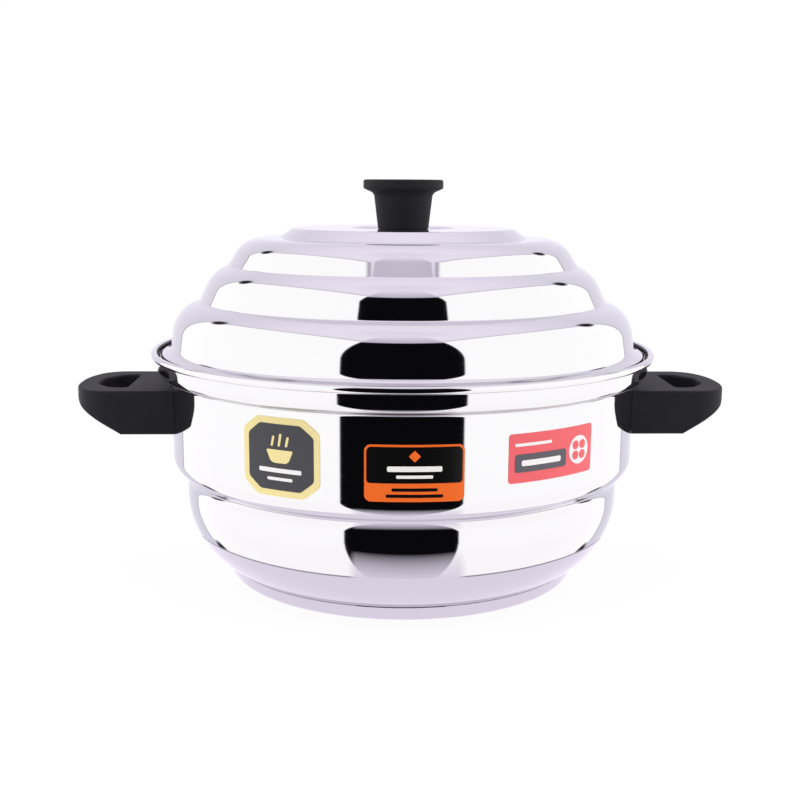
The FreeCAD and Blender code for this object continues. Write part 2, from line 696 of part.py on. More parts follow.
def make_stand():
    """Legs, hub and rod of the idli stand, the spacers on the rod and the knob on top."""
    hub = turned(
        "hub",
        [
            ("rod_radius", HUB),
            ("hub_radius", HUB),
            ("hub_radius", f"{HUB} + hub_flange"),
            ("hub_collar_radius", f"{HUB} + hub_flange"),
            ("hub_collar_radius", HUB_TOP),
            ("rod_radius", HUB_TOP),
        ],
    )
    subpart(hub, "stand_hub")
    legs = doc.addObject("Part::Compound", "legs")
    legs.Links = [make_leg(f"leg_{n}", TURN / 4 + n * TURN / LEGS) for n in range(LEGS)]
    subpart(legs, "stand_legs")
    rod_top = f"{LAST_PLATE} + thread_depth"
    rod = turned("rod", [("0", HUB), ("rod_radius", HUB), ("rod_radius", rod_top), ("0", rod_top)])
    subpart(rod, "centre_rod")
    for n in range(PLATES):
        foot = HUB_TOP if n == 0 else f"{FIRST_PLATE} + {n - 1} * {PITCH}"
        top = f"{FIRST_PLATE} + {n} * {PITCH} - plate_sheet"
        sleeve = turned(
            f"sleeve_{n + 1}",
            [
                ("rod_radius + running_fit", foot),
                ("rod_radius + running_fit + spacer_wall", foot),
                ("rod_radius + running_fit + spacer_wall", top),
                ("rod_radius + running_fit", top),
            ],
        )
        subpart(sleeve, f"spacer_{n + 1}")
    bore = "rod_radius + running_fit"
    bore_top = f"{rod_top} + thread_runout"
    nut = turned(
        "nut",
        [
            (bore, LAST_PLATE),
            ("lift_foot_radius", LAST_PLATE),
            ("lift_foot_radius", f"{LAST_PLATE} + lift_foot_height", "lift_round"),
            ("lift_waist_radius", f"{LAST_PLATE} + lift_foot_height + lift_round", "lift_round"),
            ("lift_waist_radius", f"{STACK_TOP} - lift_flange_height - lift_round", "lift_round"),
            ("lift_knob_radius", f"{STACK_TOP} - lift_flange_height", "lift_round"),
            ("lift_knob_radius", STACK_TOP, "lift_round"),
            ("0", STACK_TOP),
            ("0", bore_top),
            (bore, bore_top),
        ],
    )
    subpart(nut, "lifting_knob")


def make_leg(name, angle):
    """One leg: a strip bent down from the hub to a flat foot."""
    line = doc.addObject("Sketcher::SketchObject", name + "_line")
    line.Placement = FreeCAD.Placement(FreeCAD.Vector(), ON_XZ)
    draw(
        line,
        [
            ("leg_start", HUB),
            ("leg_shoulder", HUB, "leg_round"),
            ("leg_span", f"{FLOOR_TOP} + leg_sheet", "leg_round"),
            ("leg_span + foot_length", f"{FLOOR_TOP} + leg_sheet"),
        ],
        closed=False,
    )
    doc.recompute()
    strip = doc.addObject("Part::Offset2D", name + "_strip")
    strip.Source = line
    strip.Mode = "Skin"
    strip.Join = "Intersection"
    strip.Fill = True
    bind(strip, "Value", "leg_sheet")
    leg = doc.addObject("Part::Extrusion", name)
    leg.Base = strip
    leg.DirMode = "Custom"
    leg.Dir = FreeCAD.Vector(0, 1, 0)
    bind(leg, "LengthFwd", "leg_width")
    leg.Symmetric = True
    leg.Solid = True
    leg.Placement = FreeCAD.Placement(FreeCAD.Vector(), FreeCAD.Rotation(Z_AXIS, angle))
    return leg


def make_plate(n):
    """An idli plate: a web, and lobes with round cups and steam holes patterned round the rod."""
    name = f"plate_{n + 1}"
    body = new_body(name)
    web = new_sketch(body, "XY_Plane", name + "_web", "-plate_sheet")
    ring(web, "0", "0", CUP_CIRCLE)
    web_pad = body.newObject("PartDesign::Pad", name + "_web_pad")
    web_pad.Profile = web
    bind(web_pad, "Length", "plate_sheet")
    lobe = new_sketch(body, "XY_Plane", name + "_lobe", "-plate_sheet")
    ring(lobe, CUP_CIRCLE, "0", LOBE)
    lobe_pad = body.newObject("PartDesign::Pad", name + "_lobe_pad")
    lobe_pad.Profile = lobe
    bind(lobe_pad, "Length", "plate_sheet")
    outside = dome(body, name + "_outside", "PartDesign::Revolution", "plate_sheet", "plate_sheet / 2")
    inside = dome(body, name + "_inside", "PartDesign::Groove", "0", "0")
    holes = new_sketch(body, "XY_Plane", name + "_holes")
    ring(holes, CUP_CIRCLE, "0", "steam_hole_radius")
    for k in range(RING_HOLES):
        angle = k * TURN / RING_HOLES
        across = f"{CUP_CIRCLE} + steam_hole_ring * cos({angle})"
        ring(holes, across, f"steam_hole_ring * sin({angle})", "steam_hole_radius")
    steam = body.newObject("PartDesign::Pocket", name + "_steam")
    steam.Profile = holes
    steam.Type = "ThroughAll"
    doc.recompute()
    around = body.newObject("PartDesign::PolarPattern", name + "_around")
    around.Originals = [lobe_pad, outside, inside, steam]
    around.Axis = (web, ["N_Axis"])
    around.Angle = TURN
    around.Occurrences = CUPS
    body.Tip = around
    doc.recompute()
    bore = new_sketch(body, "XY_Plane", name + "_bore")
    ring(bore, "0", "0", "rod_radius + running_fit")
    bore_cut = body.newObject("PartDesign::Pocket", name + "_bore_cut")
    bore_cut.Profile = bore
    bore_cut.Type = "ThroughAll"
    body.Tip = bore_cut
    yaw = (n % 2) * TURN / CUPS / 2
    body.Placement = FreeCAD.Placement(FreeCAD.Vector(), FreeCAD.Rotation(Z_AXIS, yaw))
    bind(body, "Placement.Base.z", f"{FIRST_PLATE} + {n} * {PITCH}")
    subpart(body, f"idli_plate_{n + 1}")


def dome(body, name, kind, skin, drop):
    """A round cup's outer or inner surface as a turned feature about the cup's own axis."""
    sketch = new_sketch(body, "XZ_Plane", name + "_outline")
    across = number(sketch, CUP_CIRCLE)
    radius = number(sketch, f"{SPHERE} + {skin}")
    middle = number(sketch, f"{SPHERE} - cup_depth")
    top = -number(sketch, drop)
    reach = math.sqrt(radius ** 2 - (middle - top) ** 2)
    centre = FreeCAD.Vector(across, middle, 0)
    circle = Part.Circle(centre, Z_AXIS, radius)
    arc = sketch.addGeometry(Part.ArcOfCircle(circle, -math.pi / 2, math.atan2(top - middle, reach)))
    lid = sketch.addGeometry(
        Part.LineSegment(FreeCAD.Vector(across + reach, top, 0), FreeCAD.Vector(across, top, 0))
    )
    spine = sketch.addGeometry(
        Part.LineSegment(FreeCAD.Vector(across, top, 0), FreeCAD.Vector(across, middle - radius, 0))
    )
    sketch.addConstraint(
        [
            Sketcher.Constraint("Coincident", arc, 2, lid, 1),
            Sketcher.Constraint("Coincident", lid, 2, spine, 1),
            Sketcher.Constraint("Coincident", spine, 2, arc, 1),
            Sketcher.Constraint("Horizontal", lid),
            Sketcher.Constraint("Vertical", spine),
        ]
    )
    fix(sketch, (arc, 3), "DistanceX", CUP_CIRCLE)
    fix(sketch, (arc, 3), "DistanceY", f"{SPHERE} - cup_depth")
    fix(sketch, (spine, 1), "DistanceX", CUP_CIRCLE)
    fix(sketch, (spine, 1), "DistanceY", f"-({drop})")
    index = sketch.addConstraint(Sketcher.Constraint("Radius", arc, radius))
    bind(sketch, f"Constraints[{index}]", f"{SPHERE} + {skin}")
    turn = body.newObject(kind, name)
    turn.Profile = sketch
    turn.ReferenceAxis = (sketch, ["Edge3"])
    turn.Angle = TURN
    return turn


def export():
    """Check every object, then write each piece to its own file."""
    doc.recompute()
    failed = [item.Label for item in doc.Objects if {"Invalid", "Error"} & set(item.State)]
    for item in subparts:
        if item.Shape.isNull() or not item.Shape.isValid() or not item.Shape.Solids:
            failed.append(item.Label)
    if failed:
        raise RuntimeError("failed: " + ", ".join(failed))
    os.makedirs("parts", exist_ok=True)
    for item in subparts:
        item.Shape.exportStep(f"parts/{item.Label}.step")


make_pot()
make_lid()
make_handles()
make_stand()
for level in range(PLATES):
    make_plate(level)
export()
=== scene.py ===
"""Dresses an idli steamer: spun mirror steel, moulded bakelite, satin plates, plain labels and a studio."""

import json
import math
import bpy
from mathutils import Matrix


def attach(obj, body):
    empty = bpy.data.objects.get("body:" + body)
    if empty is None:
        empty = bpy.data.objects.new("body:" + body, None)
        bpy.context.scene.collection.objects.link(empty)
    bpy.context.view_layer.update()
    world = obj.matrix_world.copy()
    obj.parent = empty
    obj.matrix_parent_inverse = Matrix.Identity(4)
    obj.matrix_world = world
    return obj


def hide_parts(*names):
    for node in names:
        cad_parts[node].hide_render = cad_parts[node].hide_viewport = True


bl_info = {
    "name": "Idli steamer",
    "version": (1, 0, 0),
    "blender": (4, 5, 0),
    "location": "3D View > Sidebar > Steamer",
    "description": "Models the looks of an idli steamer round its packed parts",
    "category": "Object",
}

import bpy
from mathutils import Matrix, Vector

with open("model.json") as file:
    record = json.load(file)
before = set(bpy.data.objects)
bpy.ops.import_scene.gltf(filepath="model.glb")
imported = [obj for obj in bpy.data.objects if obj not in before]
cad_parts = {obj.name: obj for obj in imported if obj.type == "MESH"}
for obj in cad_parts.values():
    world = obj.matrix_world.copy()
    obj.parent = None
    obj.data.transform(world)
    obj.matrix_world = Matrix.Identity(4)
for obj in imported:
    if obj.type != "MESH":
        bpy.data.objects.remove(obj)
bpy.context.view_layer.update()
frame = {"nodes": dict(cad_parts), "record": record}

MM = 0.001
X = Vector((1, 0, 0))
Y = Vector((0, 1, 0))
Z = Vector((0, 0, 1))

# Outer lines of the turned pieces in millimetres: radius, height and the round of the corner.
POT_LINE = [
    (0, 5.8), (89.6, 5.8, 3.0), (113, 20.2, 42.7), (113, 53.4, 9), (120, 61.0, 9), (120, 104.3, 1.5),
    (126.7, 106.2, 5.0), (127.35, 114.9, 0.5), (128.25, 114.9),
]
RIM_MIDDLE = (128.25, 116.65)
RIM_CURL = math.radians(285)
LID_LINE = [
    (124.0, 107.2), (124.8, 117.1, 1.4), (119.9, 119.4, 4.5), (117.2, 137.8, 17),
    (105.0, 143.0, 1.0), (98.2, 157.1, 18), (90.4, 160.8, 1.0), (81.4, 174.6, 16), (64.0, 174.9, 1.0),
    (57, 179.7, 4), (27, 179.7, 1.2), (25.4, 178.8, 0.8), (2.9, 178.8),
]
BASE_LINE = [(0, 0), (90.6, 0, 3.5), (92.4, 7.2)]
KNOB_LINE = [
    (0, 190.8), (5, 190.8), (5, 178.8), (13, 178.8, 1.2), (15.2, 197.3, 3.2), (20.6, 199.7, 1.2),
    (20.6, 204.2, 1.2), (0, 204.2),
]
# Labels as layers of film from the steel outwards: layer, ink and outline round the label's middle.
LABEL_OCTAGON = [
    (0, "gold", [(-20, -12, 4), (-12, -18, 4), (12, -18, 4), (20, -12, 4), (20, 12, 4), (12, 18, 4),
                 (-12, 18, 4), (-20, 12, 4)]),
    (1, "charcoal", [(-17, -10, 3), (-10.4, -15, 3), (10.4, -15, 3), (17, -10, 3), (17, 10, 3),
                     (10.4, 15, 3), (-10.4, 15, 3), (-17, 10, 3)]),
    (2, "gold", [(-7, 3.4, 0.6), (-4.4, -2.6, 3.2), (4.4, -2.6, 3.2), (7, 3.4, 0.6)]),
    (2, "gold", [(-4.6, 5, 0.4), (-3.4, 5, 0.4), (-2.4, 9.6, 0.4), (-3.6, 9.6, 0.4)]),
    (2, "gold", [(-0.9, 5, 0.4), (0.3, 5, 0.4), (1.3, 10.8, 0.4), (0.1, 10.8, 0.4)]),
    (2, "gold", [(2.8, 5, 0.4), (4, 5, 0.4), (5, 9.6, 0.4), (3.8, 9.6, 0.4)]),
    (2, "white", [(-11, -7, 0.6), (11, -7, 0.6), (11, -5, 0.6), (-11, -5, 0.6)]),
    (2, "white", [(-6.5, -10.6, 0.5), (6.5, -10.6, 0.5), (6.5, -9.2, 0.5), (-6.5, -9.2, 0.5)]),
]
LABEL_FRAME = [
    (0, "orange", [(-22.2, -12.7, 3), (22.2, -12.7, 3), (22.2, 12.7, 3), (-22.2, 12.7, 3)]),
    (1, "black", [(-21.2, -4.4, 1.6), (21.2, -4.4, 1.6), (21.2, 11.7, 2.2), (-21.2, 11.7, 2.2)]),
    (2, "orange", [(-2.6, 7.6, 0.3), (0, 5, 0.3), (2.6, 7.6, 0.3), (0, 10.2, 0.3)]),
    (2, "white", [(-12, 0.8, 0.7), (12, 0.8, 0.7), (12, 3.2, 0.7), (-12, 3.2, 0.7)]),
    (2, "white", [(-8, -2.2, 0.5), (8, -2.2, 0.5), (8, -0.8, 0.5), (-8, -0.8, 0.5)]),
    (1, "black", [(-10, -8, 0.5), (10, -8, 0.5), (10, -6.6, 0.5), (-10, -6.6, 0.5)]),
    (1, "black", [(-12.5, -10.8, 0.5), (12.5, -10.8, 0.5), (12.5, -9.4, 0.5), (-12.5, -9.4, 0.5)]),
]
LABEL_PLATE = [
    (0, "coral", [(-25.2, -11.2, 1.6), (25.2, -11.2, 1.6), (25.2, 11.2, 1.6), (-25.2, 11.2, 1.6)]),
    (1, "grey", [(-22, -6.4, 1.4), (7, -6.4, 1.4), (7, 1.8, 1.4), (-22, 1.8, 1.4)]),
    (2, "white", [(-18.5, -3.6, 0.8), (3.5, -3.6, 0.8), (3.5, -1, 0.8), (-18.5, -1, 0.8)]),
    (1, "white", [(-22, 5.4, 0.5), (-2, 5.4, 0.5), (-2, 6.8, 0.5), (-22, 6.8, 0.5)]),
    (1, "white", [(9, -6.6, 6.5), (22.2, -6.6, 6.5), (22.2, 6.6, 6.5), (9, 6.6, 6.5)]),
    (2, "coral", [(11.2, -4.4, 2), (15.3, -4.4, 2), (15.3, -0.3, 2), (11.2, -0.3, 2)]),
    (2, "coral", [(15.9, -4.4, 2), (20, -4.4, 2), (20, -0.3, 2), (15.9, -0.3, 2)]),
    (2, "coral", [(11.2, 0.3, 2), (15.3, 0.3, 2), (15.3, 4.4, 2), (11.2, 4.4, 2)]),
    (2, "coral", [(15.9, 0.3, 2), (20, 0.3, 2), (20, 4.4, 2), (15.9, 4.4, 2)]),
]
# Each label's name, turn round the pot in degrees, height of its middle in millimetres, and layers.
LABELS = (
    ("octagon_label", -28.8, 82.6, LABEL_OCTAGON),
    ("framed_label", 0.6, 78.8, LABEL_FRAME),
    ("plate_label", 32.8, 83.0, LABEL_PLATE),
)
# Labels are cut into strips so that they bend round the band, and lie a little off the steel. A layer's film
# fills a share of its level.
LABEL_REACH = 26
LABEL_STRIP = 2
LABEL_GAP = 0.1
LABEL_FILL = 0.8
BAND_RADIUS = 120
# Drawing: support points lie a few tenths of a millimetre from a corner, and points closer than the merging
# distance, in metres, become one.
ARC_STEP = math.radians(3)
SUPPORT = 0.25
MERGE = 1e-6
SMOOTH_ANGLE = math.radians(35)
# Finishes: a pair of roughnesses is for the low and the high end of a noise, and lengths are in millimetres.
STREAK_RADIUS = 100
STREAK_DETAIL = 3.0
STREAK_FINENESS = 0.55
BUFFED_ROUGHNESS = (0.025, 0.055)
# The trough between the lid's hem and the rim: painted shade in its colour, and a rougher finish.
TROUGH_MIDDLE = (125.9, 116.6)
TROUGH_REACH = (1.5, 1.35)
TROUGH_PAINTED_SHADE = "#4A484E"
TROUGH_ROUGHNESS = 0.45
CREASE_MIDDLE = (123.2, 105.3)
CREASE_REACH = (2.6, 1.2)
CREASE_ROUGHNESS = 0.32
SATIN_ROUGHNESS = (0.2, 0.36)
GRIT_STRENGTH = 0.08
GRIT_DEPTH = 0.02
ALUMINIUM = "#D9DADB"
ALUMINIUM_ROUGHNESS = (0.3, 0.45)
BRASS = "#D9B560"
BRASS_ROUGHNESS = (0.2, 0.32)
BAKELITE_ROUGHNESS = (0.56, 0.68)
BAKELITE_IOR = 1.22
CLOUD_GAIN = 1.5
SKIN_STRENGTH = 0.12
SKIN_DEPTH = 0.06
PARTING_HEIGHT = 93.6
PARTING_WIDTH = 0.25
PARTING_LIFT = 1.5
THIN_INK_GAIN = 1.12
THIN_INK_LIFT = 0.004
VARNISH_ROUGHNESS = 0.2
VARNISH_IOR = 1.4
# Floor and painted shade disc: squares in metres, and the disc's drawing in millimetres from the pot's axis.
# The disc glows and only the steel sees it: a painted reflection of the floor in the pot's shade.
FLOOR_SIZE = 8
SHADE_DISC_SIZE = 0.42
STAGE_CUTS = 3
WHITE = "#FFFFFF"
WHITE_GLOW = 1.02
PAPER_SHADE = "#FBFBFB"
PAPER_GLOW_SHARE = 0.9
SHADE_DISC_END = (124, 123)
SHADE_EDGE_RADIUS = 122.4
SHADE_EDGE_REACH = 1.0
# Painted shade: a glowing lilac for the pot's shade on the floor, and a painted grey edge line.
SHADE_LILAC = "#D6CEDD"
SHADE_EDGE_GREY = "#8E8896"
SHADE_DISC_GLOW = 1.66
SHADE_SLOPE = 0.42
SHADE_SIDE = (-10, -17)
SHADE_FRONT = (-185, -116)
# Room: colours by degrees over the horizon, and where the card, the soft boxes and their clips end.
CARD_COLOURS = [
    (-90, "#08080A"), (56, "#08080A"), (57.5, "#B4ACBC"), (62, "#BDB5C5"), (69, "#C9C1D0"),
    (75, "#D8CFDC"), (90, "#E0D8E6"),
]
BOX_COLOURS = [(-90, "#F1F0F0"), (-30, "#F3F2F2"), (-10, "#F7F7F6"), (90, "#F5F5F4")]
ROOM_COLOURS = [
    (-60, "#B6B3C0"), (0, "#C8C6D0"), (35, "#CBC7D3"), (58, "#DDD5E3"), (72, "#E0DAE6"),
    (90, "#D6CEDC"),
]
DEGREES_PER_RADIAN = 180 / math.pi
CARD_SIDE = (28.6, 29.6)
BOX_FACING = math.radians(62)
BOX_TOP = 62.5
BOX_END = 136
BOX_FRAME = (-1.8, -0.6)
BOX_FRAME_GREY = "#A39DAA"
BOX_CLOTH = (-0.6, 0.8)
CLIP_TURN = math.radians(133.5)
CLIP_RISE = math.radians(33)
CLIP_REACH = (math.radians(5), math.radians(2))
CLIP_BLACK = "#1C1A20"
SENSOR_WIDTH = 36
NEAREST_SEEN = 0.01


def linear(hex_colour):
    """An sRGB hex colour as linear red, green, blue and alpha."""
    values = [int(hex_colour[i:i + 2], 16) / 255 for i in (1, 3, 5)]
    return (*(v / 12.92 if v <= 0.04045 else ((v + 0.055) / 1.055) ** 2.4 for v in values), 1.0)


class PotSettings(bpy.types.PropertyGroup):
    """Sheets and colour of the spun steel."""
    pot_sheet: bpy.props.FloatProperty(
        name="Pot sheet", description="Thickness of the pot's wall", default=1.0 * MM, unit="LENGTH")
    lid_sheet: bpy.props.FloatProperty(
        name="Lid sheet", description="Thickness of the lid", default=0.8 * MM, unit="LENGTH")
    base_sheet: bpy.props.FloatProperty(
        name="Base sheet", description="Thickness of the base cap", default=0.6 * MM, unit="LENGTH")
    turn_steps: bpy.props.IntProperty(
        name="Turn steps", description="Facets round a turned piece", default=180, min=48)
    mirror_colour: bpy.props.FloatVectorProperty(
        name="Mirror steel", description="Tint of the polished steel", subtype="COLOR", size=4,
        default=linear("#CDCCCE"))
    satin_colour: bpy.props.FloatVectorProperty(
        name="Satin steel", description="Tint of the satin steel", subtype="COLOR", size=4,
        default=linear("#C2C2C5"))
    bakelite_colour: bpy.props.FloatVectorProperty(
        name="Bakelite", description="Colour of the knob and handles", subtype="COLOR", size=4,
        default=linear("#201F24"))


class LabelSettings(bpy.types.PropertyGroup):
    """Film and inks of the labels."""
    film: bpy.props.FloatProperty(
        name="Film", description="Thickness of a label", default=0.12 * MM, unit="LENGTH")
    charcoal: bpy.props.FloatVectorProperty(
        name="Charcoal", description="Left label", subtype="COLOR", size=4, default=linear("#35343B"))
    gold: bpy.props.FloatVectorProperty(
        name="Gold", description="Left label's foil", subtype="COLOR", size=4, default=linear("#F0DF9C"))
    black: bpy.props.FloatVectorProperty(
        name="Black", description="Middle label", subtype="COLOR", size=4, default=linear("#070707"))
    orange: bpy.props.FloatVectorProperty(
        name="Orange", description="Middle label's panel", subtype="COLOR", size=4,
        default=linear("#F26A21"))
    coral: bpy.props.FloatVectorProperty(
        name="Coral", description="Right label", subtype="COLOR", size=4, default=linear("#EE5F66"))
    grey: bpy.props.FloatVectorProperty(
        name="Grey", description="Right label's bar", subtype="COLOR", size=4, default=linear("#54525A"))
    white: bpy.props.FloatVectorProperty(
        name="White", description="Light ink", subtype="COLOR", size=4, default=linear("#F4EEEE"))


class StudioSettings(bpy.types.PropertyGroup):
    """Camera and light."""
    place: bpy.props.FloatVectorProperty(
        name="Camera", description="Place of the camera", subtype="TRANSLATION",
        default=(-0.0011, -0.6045, 0.2009))
    pitch: bpy.props.FloatProperty(
        name="Pitch", description="Camera's look down", default=0.1832, subtype="ANGLE")
    roll: bpy.props.FloatProperty(
        name="Roll", description="Camera's lean", default=0.0059, subtype="ANGLE")
    turn: bpy.props.FloatProperty(
        name="Turn", description="Turn of camera and room round the pot", default=math.radians(-2.0),
        subtype="ANGLE")
    lens: bpy.props.FloatProperty(
        name="Lens", description="Focal length in millimetres", default=51.96, min=1)
    light: bpy.props.FloatProperty(
        name="Light", description="Strength of the studio's surroundings", default=1.72, min=0)


def add_node(tree, kind, inputs=None, stops=None, **settings):
    """Adds a node with its settings, sets or links its inputs and fills a ramp's stops."""
    node = tree.nodes.new(kind)
    for name, value in settings.items():
        setattr(node, name, value)
    for name, value in (inputs or {}).items():
        if isinstance(value, bpy.types.NodeSocket):
            tree.links.new(value, node.inputs[name])
        else:
            node.inputs[name].default_value = value
    for index, (place, colour) in enumerate(stops or []):
        ramp = node.color_ramp.elements
        element = ramp[index] if index < len(ramp) else ramp.new(place)
        element.position = place
        element.color = colour
    return node


def calculate(tree, operation, *values, clamp=False):
    """What a math node makes of its values."""
    inputs = dict(enumerate(values))
    return add_node(tree, "ShaderNodeMath", inputs, operation=operation, use_clamp=clamp).outputs[0]


def blend(tree, share, near, far):
    """One colour that turns into another by a share."""
    return add_node(tree, "ShaderNodeMix", {0: share, 6: near, 7: far}, data_type="RGBA").outputs[2]


def spread(tree, share, ends):
    """A share from nought to one as a value between two ends."""
    return add_node(tree, "ShaderNodeMapRange", {0: share, 3: ends[0], 4: ends[1]}).outputs[0]


def share_of_way(tree, value, ends, **settings):
    """How far a value has come from one end to the other, from nought to one."""
    return add_node(tree, "ShaderNodeMapRange", {0: value, 1: ends[0], 2: ends[1]}, **settings).outputs[0]


def noise(tree, place, grain, detail):
    """Noise with a grain in millimetres."""
    inputs = {"Vector": place, "Scale": 1 / (grain * MM), "Detail": detail}
    return add_node(tree, "ShaderNodeTexNoise", inputs).outputs["Fac"]


def new_material(name):
    """An empty node material."""
    material = bpy.data.materials.new(name)
    material.use_nodes = True
    material.node_tree.nodes.clear()
    return material, material.node_tree


def surface(tree, kind, inputs):
    """Ends a material's nodes in one shader."""
    shader = add_node(tree, kind, inputs)
    add_node(tree, "ShaderNodeOutputMaterial", {"Surface": shader.outputs[0]})


def round_axis(tree):
    """An object's own coordinates and the distance from its Z axis."""
    place = add_node(tree, "ShaderNodeTexCoord").outputs["Object"]
    parts = add_node(tree, "ShaderNodeSeparateXYZ", {0: place}).outputs
    square_x = calculate(tree, "MULTIPLY", parts["X"], parts["X"])
    square = calculate(tree, "MULTIPLY_ADD", parts["Y"], parts["Y"], square_x)
    return parts, calculate(tree, "SQRT", square)


def streaks_round_axis(tree, along, across):
    """Noise drawn out round the Z axis, as a tool leaves it on a turning piece: lengths in millimetres."""
    parts, radius = round_axis(tree)
    angle = calculate(tree, "ARCTAN2", parts["Y"], parts["X"])
    turned = calculate(tree, "MULTIPLY", angle, STREAK_RADIUS / along)
    outward = calculate(tree, "MULTIPLY", radius, 1 / (across * MM))
    upward = calculate(tree, "MULTIPLY", parts["Z"], 1 / (across * MM))
    drawn = add_node(tree, "ShaderNodeCombineXYZ", {0: turned, 1: outward, 2: upward}).outputs[0]
    inputs = {"Vector": drawn, "Scale": 1.0, "Detail": STREAK_DETAIL, "Roughness": STREAK_FINENESS}
    return add_node(tree, "ShaderNodeTexNoise", inputs).outputs["Fac"]


def ring_share(tree, radius, height, middle, reach):
    """One inside a ring round the Z axis and nought outside it, with the ring in millimetres."""
    near = [
        calculate(tree, "COMPARE", value, at * MM, width * MM)
        for value, at, width in zip((radius, height), middle, reach)
    ]
    return calculate(tree, "MULTIPLY", *near)


def mirror_polished_steel(colour):
    """Stainless sheet, spun and buffed: a clean mirror with a breath of haze along the buffing lines. The
    buffing wheel leaves the crease under the neck hazy. The trough between lid and rim is rougher, and its
    colour is darkened to grey: painted shade in the recess."""
    material, tree = new_material("mirror_polished_stainless_steel")
    haze = streaks_round_axis(tree, along=60, across=0.9)
    parts, radius = round_axis(tree)
    trough = ring_share(tree, radius, parts["Z"], TROUGH_MIDDLE, TROUGH_REACH)
    crease = ring_share(tree, radius, parts["Z"], CREASE_MIDDLE, CREASE_REACH)
    # Painted shade: the trough's colour turns dark grey.
    shaded_tint = blend(tree, trough, colour, linear(TROUGH_PAINTED_SHADE))
    buffed = spread(tree, haze, BUFFED_ROUGHNESS)
    hazy = add_node(tree, "ShaderNodeMix", {0: crease, 2: buffed, 3: CREASE_ROUGHNESS}).outputs[0]
    rough = add_node(tree, "ShaderNodeMix", {0: trough, 2: hazy, 3: TROUGH_ROUGHNESS}).outputs[0]
    surface(tree, "ShaderNodeBsdfPrincipled", {"Base Color": shaded_tint, "Metallic": 1.0, "Roughness": rough})
    return material


def satin_steel(colour):
    """Stainless sheet and bar with a satin finish: soft reflections, drawn out round the axis by the grit."""
    material, tree = new_material("satin_stainless_steel")
    grit = streaks_round_axis(tree, along=40, across=0.35)
    rough = spread(tree, grit, SATIN_ROUGHNESS)
    relief = {"Strength": GRIT_STRENGTH, "Distance": GRIT_DEPTH * MM, "Height": grit}
    bump = add_node(tree, "ShaderNodeBump", relief).outputs[0]
    surface(tree, "ShaderNodeBsdfPrincipled", {
        "Base Color": colour, "Metallic": 1.0, "Roughness": rough, "Normal": bump})
    return material


def plain_metal(name, colour, roughness):
    """A worked metal out of sight: fine tool marks that change its gloss."""
    material, tree = new_material(name)
    marks = streaks_round_axis(tree, along=25, across=0.5)
    rough = spread(tree, marks, roughness)
    surface(tree, "ShaderNodeBsdfPrincipled", {"Base Color": colour, "Metallic": 1.0, "Roughness": rough})
    return material


def moulded_bakelite(colour):
    """Black bakelite from the press: a dull sheen, faint flow clouds, a fine orange-peel skin and the
    raised line where the halves of the handles' mould meet."""
    material, tree = new_material("moulded_black_bakelite")
    place = add_node(tree, "ShaderNodeTexCoord").outputs["Object"]
    clouds = noise(tree, place, grain=14, detail=4.0)
    skin = noise(tree, place, grain=0.7, detail=2.0)
    pale = blend(tree, clouds, colour, tuple(min(1, c * CLOUD_GAIN) for c in colour))
    rough = spread(tree, clouds, BAKELITE_ROUGHNESS)
    height = add_node(tree, "ShaderNodeSeparateXYZ", {0: place}).outputs["Z"]
    parting = calculate(tree, "COMPARE", height, PARTING_HEIGHT * MM, PARTING_WIDTH * MM)
    raised = calculate(tree, "MULTIPLY_ADD", parting, PARTING_LIFT, skin)
    relief = {"Strength": SKIN_STRENGTH, "Distance": SKIN_DEPTH * MM, "Height": raised}
    bump = add_node(tree, "ShaderNodeBump", relief).outputs[0]
    surface(tree, "ShaderNodeBsdfPrincipled", {
        "Base Color": pale, "Roughness": rough, "IOR": BAKELITE_IOR, "Normal": bump})
    return material


def printed_film(name, colour):
    """Printed label film: an even ink with a fine mottle under a glossy varnish."""
    material, tree = new_material(name)
    place = add_node(tree, "ShaderNodeTexCoord").outputs["Object"]
    mottle = noise(tree, place, grain=1.2, detail=3.0)
    thin = tuple(min(1, c * THIN_INK_GAIN + THIN_INK_LIFT) for c in colour)
    ink = blend(tree, mottle, colour, thin)
    surface(tree, "ShaderNodeBsdfPrincipled", {
        "Base Color": ink, "Roughness": VARNISH_ROUGHNESS, "IOR": VARNISH_IOR})
    return material


def white_sweep():
    """The studio floor: white paper that glows a little, so that it stays pale to its edge."""
    material, tree = new_material("white_paper_sweep")
    place = add_node(tree, "ShaderNodeTexCoord").outputs["Object"]
    fibre = noise(tree, place, grain=2.5, detail=2.0)
    paper = blend(tree, fibre, linear(PAPER_SHADE), linear(WHITE))
    lit = add_node(tree, "ShaderNodeBsdfDiffuse", {"Color": paper})
    glow = add_node(tree, "ShaderNodeEmission", {"Color": linear(WHITE), "Strength": WHITE_GLOW})
    surface(tree, "ShaderNodeMixShader", {0: PAPER_GLOW_SHARE, 1: lit.outputs[0], 2: glow.outputs[0]})
    return material


